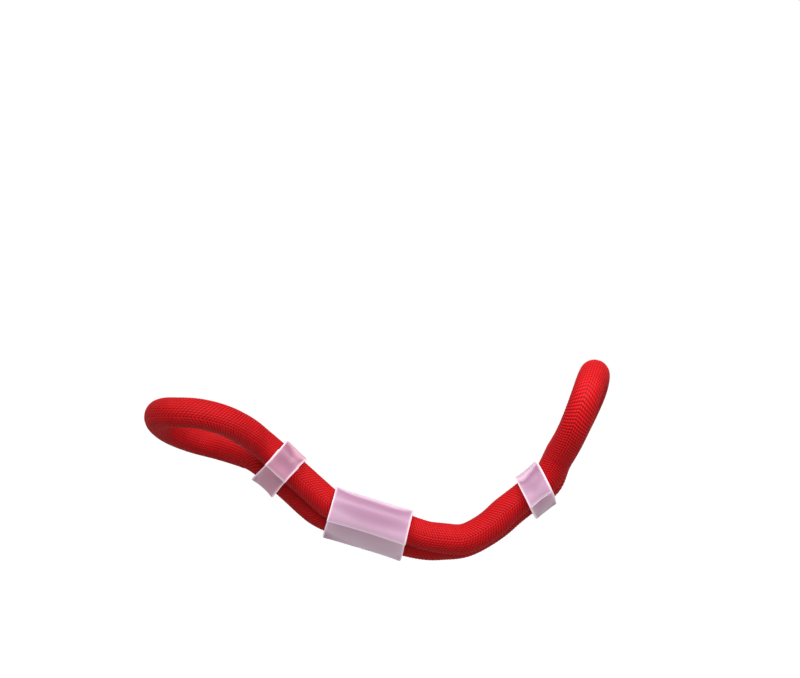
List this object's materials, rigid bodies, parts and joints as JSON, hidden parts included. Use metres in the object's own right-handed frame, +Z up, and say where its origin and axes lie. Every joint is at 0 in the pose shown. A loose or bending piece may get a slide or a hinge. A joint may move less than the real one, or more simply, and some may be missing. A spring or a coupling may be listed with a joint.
{
  "type": "thumb and finger loop",
  "caption": "Closed loop of soft braided cord with an eye for the thumb and an eye for the index finger, its runs held side by side by wrapped plastic sleeves.",
  "frame": {"origin": "centre of the thumb eye, where the thumb holds the loop up", "axes": "+X from the thumb eye towards the finger eye, +Y towards the back run, +Z up"},
  "size_m": [0.0893, 0.0272, 0.0387],
  "materials": {
    "braid": "tubular herringbone braid, soft",
    "filler": "loose filler strands",
    "whipping": "wound thread",
    "sleeve": "translucent soft sheet, low gloss"
  },
  "bodies": {
    "thumb_side": {"thumb_side_cover": "braid", "thumb_side_filler": "filler"},
    "middle_run": {"middle_front_cover": "braid", "middle_front_filler": "filler", "back_end_thumbward_cover": "braid", "back_end_thumbward_filler": "filler", "back_end_fingerward_cover": "braid", "back_end_fingerward_filler": "filler", "join_whipping": "whipping"},
    "finger_side": {"finger_side_cover": "braid", "finger_side_filler": "filler"},
    "thumb_sleeve_body": {"thumb_sleeve": "sleeve"},
    "middle_sleeve_body": {"middle_sleeve": "sleeve"},
    "finger_sleeve_body": {"finger_sleeve": "sleeve"}
  },
  "joints": [
    {"name": "thumb_side_flex", "type": "hinge", "parent": "thumb_side", "child": "middle_run", "pos_m": [0.02009, 0, -0.01292], "axis": [-0.3346, 0.866, -0.3716], "range_deg": [-20, 20]},
    {"name": "finger_side_flex", "type": "hinge", "parent": "middle_run", "child": "finger_side", "pos_m": [0.0488, 0, -0.0208], "axis": [0.0302, 0.9848, -0.171], "range_deg": [-20, 25]},
    {"name": "thumb_sleeve_slide", "type": "slide", "parent": "thumb_side", "child": "thumb_sleeve_body", "axis": [0.7431, 0, -0.6691], "range_m": [0, 0.0045]},
    {"name": "middle_sleeve_slide", "type": "slide", "parent": "middle_run", "child": "middle_sleeve_body", "axis": [0.9537, 0, -0.3007], "range_m": [0, 0.0035]},
    {"name": "finger_sleeve_slide", "type": "slide", "parent": "finger_side", "child": "finger_sleeve_body", "axis": [-0.788, 0, -0.6157], "range_m": [0, 0.0045]}
  ]
}
